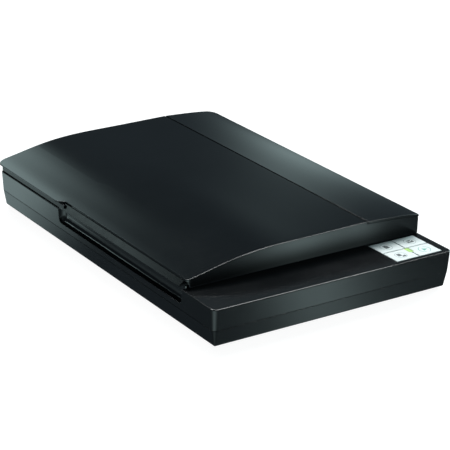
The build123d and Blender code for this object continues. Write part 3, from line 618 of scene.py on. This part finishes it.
def panel_plan(inset):
    """The side panel's plan, from the seam to the right edge."""
    front, back = panel_low_corner.y, panel_high_corner.y
    shares = spread(0.03, 1.0, 20)
    grid = []
    for y, front_turn, back_turn in row_places(front, back, inset):
        x0, x1 = seam_right + min(inset, seam_round), half_width - inset
        reach = front + panel_corner - y
        if front_turn is not None and reach > 0 and inset < panel_corner:
            arc = sqrt(max((panel_corner - inset) ** 2 - reach ** 2, 0.0))
            x1 = half_width - panel_corner + arc
        if back_turn is not None:
            x1 = half_width - corner_inset(back_radius, inset, back_turn)
        row = [(x0 + seam_round * (1 - sin(radians(lean))), y) for lean in reversed(seam_leans)]
        seam_end = row[-1][0]
        row += [(seam_end + (x1 - seam_end) * share, y) for share in shares]
        grid.append(row)
    return grid


def panel_height(x, y):
    """The side panel's top: rounded at the seam."""
    past = min(max((seam_right + seam_round - x) / seam_round, 0.0), 1.0)
    return deck + panel_top(x) - seam_round * (1 - sqrt(1 - past ** 2))


moulded_shell("lid_cover", cover_plan, cover_height, cover_foot, lid_skin, edge_round,
              "lid_plastic", "lid", ("lid_shell",))
moulded_shell("lid_side_cover", panel_plan, panel_height, None, lid_skin, edge_round,
              "panel_plastic", "lid", ("lid_side_panel",), plate=True)


# ---------------------------------------------------------------- key symbols
def add_prism(points, faces, outline, z0, z1):
    """A closed prism over a flat outline that turns anticlockwise."""
    start, count = len(points), len(outline)
    points.extend((x, y, z0) for x, y in outline)
    points.extend((x, y, z1) for x, y in outline)
    faces.append(tuple(range(start + count - 1, start - 1, -1)))
    faces.append(tuple(range(start + count, start + 2 * count)))
    for k in range(count):
        n = (k + 1) % count
        faces.append((start + k, start + n, start + count + n, start + count + k))


def arc_band(radius, width, first, last):
    """The outline of part of a printed ring, from angle first to last in degrees."""
    steps = max(8, int((last - first) / 6))
    turns = [radians(first + (last - first) * i / steps) for i in range(steps + 1)]
    outer = [((radius + width / 2) * cos(a), (radius + width / 2) * sin(a)) for a in turns]
    inner = [((radius - width / 2) * cos(a), (radius - width / 2) * sin(a)) for a in turns]
    return outer + inner[::-1]


def print_on_key(name, key, outlines, ink):
    """Puts thin printed ink on top of a key, centred on it."""
    low, high = (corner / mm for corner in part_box(key))
    x, y = (low.x + high.x) / 2, (low.y + high.y) / 2
    bottom, top = high.z - 0.05, high.z + 0.04
    points, faces = [], []
    for outline in outlines:
        add_prism(points, faces, [(x + u, y + v) for u, v in outline], bottom, top)
    piece = make_piece(name, points, faces, ink, key)
    piece.visible_glossy = False


def box_outline(x, y, wide, deep):
    """A rectangle's corners, centred on (x, y)."""
    return [(x - wide / 2, y - deep / 2), (x + wide / 2, y - deep / 2),
            (x + wide / 2, y + deep / 2), (x - wide / 2, y + deep / 2)]


symbols = {
    "file": [[(-2.6, -3.4), (2.6, -3.4), (2.6, 1.4), (0.6, 3.4), (-2.6, 3.4)]],
    "email": [
        [(-3.8, -2.8), (3.8, -2.8), (3.8, 1.7), (0, -0.9), (-3.8, 1.7)],
        [(-3.3, 2.8), (0, 0.4), (3.3, 2.8)],
    ],
    "copy": [
        box_outline(-1.5, 1.0, 4.4, 5.2),
        [(1.5, -1.2), (4.0, -1.2), (4.0, -4.4), (-0.4, -4.4), (-0.4, -2.4), (1.5, -2.4)],
    ],
    "start": [[(-2.0, -2.8), (3.2, 0), (-2.0, 2.8)]],
}
ring_radius, ring_line = 6.2, 0.55
whole_ring = ((0, 180), (180, 360))
parted_ring = ((-70, 70), (110, 250))
for key_name, outlines in symbols.items():
    key = "button_" + key_name
    starts = key_name == "start"
    print_on_key("symbol_" + key_name, key, outlines, "start_ink" if starts else "key_ink")
    halves = parted_ring if starts else whole_ring
    ring = [arc_band(ring_radius, ring_line, first, last) for first, last in halves]
    print_on_key("ring_" + key_name, key, ring, "start_ink" if starts else "key_ring_ink")


# ---------------------------------------------------------------- flat cable
def flat_cable():
    """The ribbon that lies along the floor and rises to the carriage, with one end on each."""
    low, high = (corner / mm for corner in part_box("carriage_ribbon"))
    anchor, rise, thick = 1.0, 20.0, 0.3
    rise_start, bend = high.y - rise, 0.8
    climb = high.z - low.z - thick
    path = [(y, low.z) for y in spread(anchor, rise_start, 36)]
    for u in spread(0.0, 1.0, 14)[1:]:
        path.append((rise_start + rise * u ** bend, low.z + climb * smooth_step(u, 0.0, 1.0)))
    points, faces = [], []
    count = len(path)
    for shift in (0.0, thick):
        for x in (low.x, high.x):
            points.extend((x, y, z + shift) for y, z in path)
    left, right, left_top, right_top = (range(k * count, (k + 1) * count) for k in range(4))
    for a, b in ((right, left), (left_top, right_top), (left, left_top), (right_top, right)):
        faces.extend((a[k], b[k], b[k + 1], a[k + 1]) for k in range(count - 1))
    faces.append((left[0], right[0], right_top[0], left_top[0]))
    faces.append((right[-1], left[-1], left_top[-1], right_top[-1]))
    cable = make_piece("flat_cable", points, faces, "flat_cable", None)
    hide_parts("carriage_ribbon")
    x = (low.x + high.x) / 2 * mm
    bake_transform(cable)


flat_cable()

# the base shows no reflection of itself in the glossy lid, as under broad soft studio light
for body, members in frame["record"]["behaviour"]["bodies"].items():
    if body not in ("lid", "hinge_posts"):
        for node_name in members:
            nodes[node_name].visible_glossy = False


# ---------------------------------------------------------------- studio
def direction(azimuth, elevation):
    """Unit vector at an azimuth from +Y towards +X and an elevation above the horizon, in degrees."""
    a, e = radians(azimuth), radians(elevation)
    return Vector((sin(a) * cos(e), cos(a) * cos(e), sin(e)))


def make_world():
    """White to the camera. To the surfaces, a dim room with a soft light for each highlight."""
    world = bpy.data.worlds.new("studio")
    bpy.context.scene.world = world
    world.use_nodes = True
    world.node_tree.nodes.clear()
    t = Tree(world.node_tree)
    ray = t.node("ShaderNodeTexCoord").outputs["Generated"]

    def times(*factors):
        product = factors[0]
        for factor in factors[1:]:
            product = t.math("MULTIPLY", product, factor)
        return product

    def bell(square):
        """A bell curve of a squared distance: 1 in the middle and soft at the edges."""
        euler = 2.7183
        return t.math("POWER", euler, t.math("MULTIPLY", square, -0.5))

    def lobe(azimuth, elevation, wide, high, strength, tilt=0.0):
        """A soft oval light, with its width and height as angles, turned by a tilt."""
        middle = direction(azimuth, elevation)
        level = direction(azimuth + 90, 0)
        rise = middle.cross(level) * -1
        lean = radians(tilt)
        across = level * cos(lean) + rise * sin(lean)
        up = rise * cos(lean) - level * sin(lean)
        ahead = t.math("GREATER_THAN", t.dot(ray, middle), 0.0)
        u = t.math("DIVIDE", t.dot(ray, across), sin(radians(wide)))
        v = t.math("DIVIDE", t.dot(ray, up), sin(radians(high)))
        square = t.math("ADD", t.math("MULTIPLY", u, u), t.math("MULTIPLY", v, v))
        return times(bell(square), ahead, strength)

    def strip(middle, width):
        """A soft upright light that the front faces reflect, at one x of the reflected ray."""
        side = t.math("DIVIDE", t.math("SUBTRACT", x, middle), width)
        return times(bell(t.math("MULTIPLY", side, side)), t.remap(y, 0.0, -0.2))

    split = t.node("ShaderNodeSeparateXYZ")
    t.link(ray, split.inputs[0])
    x, y, z = split.outputs
    below = t.remap(z, 0.03, -0.03)
    lights = [
        # on the lid's left slope near the back, with a faint halo, and on the lid's side panel
        lobe(14.0, 27.0, 2.4, 2.8, 2.1),
        lobe(17.0, 31.0, 8.0, 8.0, 0.04),
        lobe(39.2, 12.5, 1.35, 5.0, 0.80, tilt=20.0),
        # on the base's upright front left corner
        lobe(-124, -24, 28, 12, 1.7),
        # dim light from the front left and from the right
        lobe(-150, 30, 30, 16, 0.16),
        lobe(120, 24, 26, 14, 0.14),
        # the light that falls on the keys and leaves the lid's shadow on them
        lobe(76, 26, 7, 8, 22),
        # on the outer edge of the lid's left slope, and on the sloped ledge under it
        lobe(12.5, 33.2, 2.2, 2.4, 1.6),
        lobe(-14.5, 33.4, 2.2, 1.3, 3.6),
        # the strips in the front faces, and a broad light in the left faces near the back
        times(strip(0.557, 0.0155), t.remap(z, -0.66, -0.38, 0.90, 2.25), below),
        times(strip(0.5845, 0.0035), t.remap(z, -0.46, -0.42, 0.0, 2.1), below),
        times(t.remap(y, 0.0, -0.2), t.remap(z, -0.42, -0.48, 0.0, 0.12)),
        times(t.remap(y, 0.806, 0.834, 0.0, 1.3, smooth=True), t.remap(z, -0.52, -0.41, 0.55, 1.0),
              t.remap(x, 0.0, -0.1), below),
    ]
    # broad light from above and behind
    behind = t.dot(ray, direction(28, 0))
    broad = times(t.remap(z, 0.64, 0.70, smooth=True),
                  t.remap(behind, 0.46, 0.66, 0.02, 18.0, smooth=True))
    # the long light above that draws the bright line on every rounded front edge
    slot = times(t.remap(x, 0.30, 0.42, smooth=True), t.remap(x, 0.605, 0.578, smooth=True),
                 t.remap(z, 0.70, 0.80, smooth=True), t.remap(y, 0.15, 0.25), 12.0)
    overhead = t.math("ADD", broad, slot)
    total = 0.0
    for light in lights:
        total = t.math("ADD", total, light)

    def tinted(strength, tint):
        scaled = t.node("ShaderNodeVectorMath", operation="SCALE")
        scaled.inputs[0].default_value = tint
        t.link(strength, scaled.inputs["Scale"])
        return scaled.outputs[0]

    cool, neutral, dim_room = (0.76, 1.0, 1.0), (0.97, 1.0, 1.0), (0.050, 0.066, 0.078)
    dim = t.node("ShaderNodeVectorMath", operation="ADD")
    t.link(tinted(total, cool), dim.inputs[0])
    dim.inputs[1].default_value = dim_room
    all_light = t.node("ShaderNodeVectorMath", operation="ADD")
    t.link(dim.outputs[0], all_light.inputs[0])
    t.link(tinted(overhead, neutral), all_light.inputs[1])
    room = t.node("ShaderNodeBackground")
    t.link(all_light.outputs[0], room.inputs["Color"])
    white = t.node("ShaderNodeBackground")
    white.inputs["Color"].default_value = (1, 1, 1, 1)
    mixed = t.node("ShaderNodeMixShader")
    t.link(t.node("ShaderNodeLightPath").outputs["Is Camera Ray"], mixed.inputs[0])
    t.link(room.outputs[0], mixed.inputs[1])
    t.link(white.outputs[0], mixed.inputs[2])
    out = t.node("ShaderNodeOutputWorld")
    t.link(mixed.outputs[0], out.inputs["Surface"])


def make_floor():
    """A plain pale floor that fades into the white room, with a faint shadow. Clear from below."""
    mesh = bpy.data.meshes.new("floor")
    reach = 6.0                           # metres each way
    below_feet = -0.1 * mm
    corners = [(-reach, -reach), (reach, -reach), (reach, reach), (-reach, reach)]
    mesh.from_pydata([(x, y, below_feet) for x, y in corners], [], [(0, 1, 2, 3)])
    floor = bpy.data.objects.new("floor", mesh)
    bpy.context.scene.collection.objects.link(floor)
    floor.visible_glossy = False
    material = bpy.data.materials.new("floor_paint")
    material.use_nodes = True
    t = Tree(material.node_tree)
    shader = material.node_tree.nodes["Principled BSDF"]
    shader.inputs["Roughness"].default_value = 0.9
    shader.inputs["Specular IOR Level"].default_value = 0.1
    t.link(t.mix(t.noise(90.0, 3.0), grey(0.20), grey(0.22)), shader.inputs["Base Color"])
    glow = 0.94
    shader.inputs["Emission Color"].default_value = (1, 1, 1, 1)
    shader.inputs["Emission Strength"].default_value = glow
    mixed = t.node("ShaderNodeMixShader")
    t.link(t.node("ShaderNodeNewGeometry").outputs["Backfacing"], mixed.inputs[0])
    t.link(shader.outputs[0], mixed.inputs[1])
    t.link(t.node("ShaderNodeBsdfTransparent").outputs[0], mixed.inputs[2])
    t.link(mixed.outputs[0], material.node_tree.nodes["Material Output"].inputs["Surface"])
    floor.data.materials.append(material)


def make_flag():
    """A black card in the deck, seen only by reflections. It paints shade into the foot of the lid's
    front wall, which reflects it: darkest by the wall, clear further forward.
    """
    front, back, height = -205.0, lid_low_corner.y, deck - 0.4
    fade_start, darkest = back - 6.0, 0.8
    mesh = bpy.data.meshes.new("flag")
    corners = [(-half_width, front), (half_width, front), (half_width, back), (-half_width, back)]
    mesh.from_pydata([(x * mm, y * mm, height * mm) for x, y in corners], [], [(0, 1, 2, 3)])
    flag = bpy.data.objects.new("flag", mesh)
    bpy.context.scene.collection.objects.link(flag)
    for ray_kind in ("camera", "diffuse", "transmission", "shadow", "volume_scatter"):
        setattr(flag, "visible_" + ray_kind, False)
    # painted shade: this card shows only in reflections, as a dark band at the foot of the lid's front
    # wall
    material = bpy.data.materials.new("painted_shade_card")
    material.use_nodes = True
    material.node_tree.nodes.clear()
    t = Tree(material.node_tree)
    split = t.node("ShaderNodeSeparateXYZ")
    t.link(t.position(), split.inputs[0])
    mixed = t.node("ShaderNodeMixShader")
    # painted shade, darkest by the lid's wall and fading out towards the front
    fade = t.remap(split.outputs[1], fade_start, front, darkest, 0.0, smooth=True)
    t.link(fade, mixed.inputs[0])
    t.link(t.node("ShaderNodeBsdfTransparent").outputs[0], mixed.inputs[1])
    shade_paint = t.node("ShaderNodeBsdfDiffuse")
    shade_paint.inputs[0].default_value = (0.01, 0.01, 0.01, 1)
    t.link(shade_paint.outputs[0], mixed.inputs[2])
    t.link(mixed.outputs[0], t.node("ShaderNodeOutputMaterial").inputs["Surface"])
    flag.data.materials.append(material)


def make_camera():
    """Over the front left corner, from a little above, with a long lens."""
    azimuth, elevation, roll = -34.22, 21.92, 1.60
    distance, lens, sensor = 1.8043, 139.4, 36.0
    target = Vector((0.0094, -0.0091, 0.0220))
    a, e, turn = radians(azimuth), radians(elevation), radians(roll)
    back = Vector((sin(a) * cos(e), -cos(a) * cos(e), sin(e)))
    right = Vector((cos(a), sin(a), 0))
    up = back.cross(right)
    data = bpy.data.cameras.new("camera")
    data.lens, data.sensor_width = lens, sensor
    camera = bpy.data.objects.new("camera", data)
    bpy.context.scene.collection.objects.link(camera)
    camera.location = target + back * distance
    across = cos(turn) * right + sin(turn) * up
    upward = -sin(turn) * right + cos(turn) * up
    axes = Matrix((across, upward, back)).transposed()
    camera.rotation_mode = "QUATERNION"
    camera.rotation_quaternion = axes.to_quaternion()
    bpy.context.scene.camera = camera


make_world()
make_floor()
make_flag()
make_camera()
bpy.context.scene.view_settings.view_transform = "Standard"
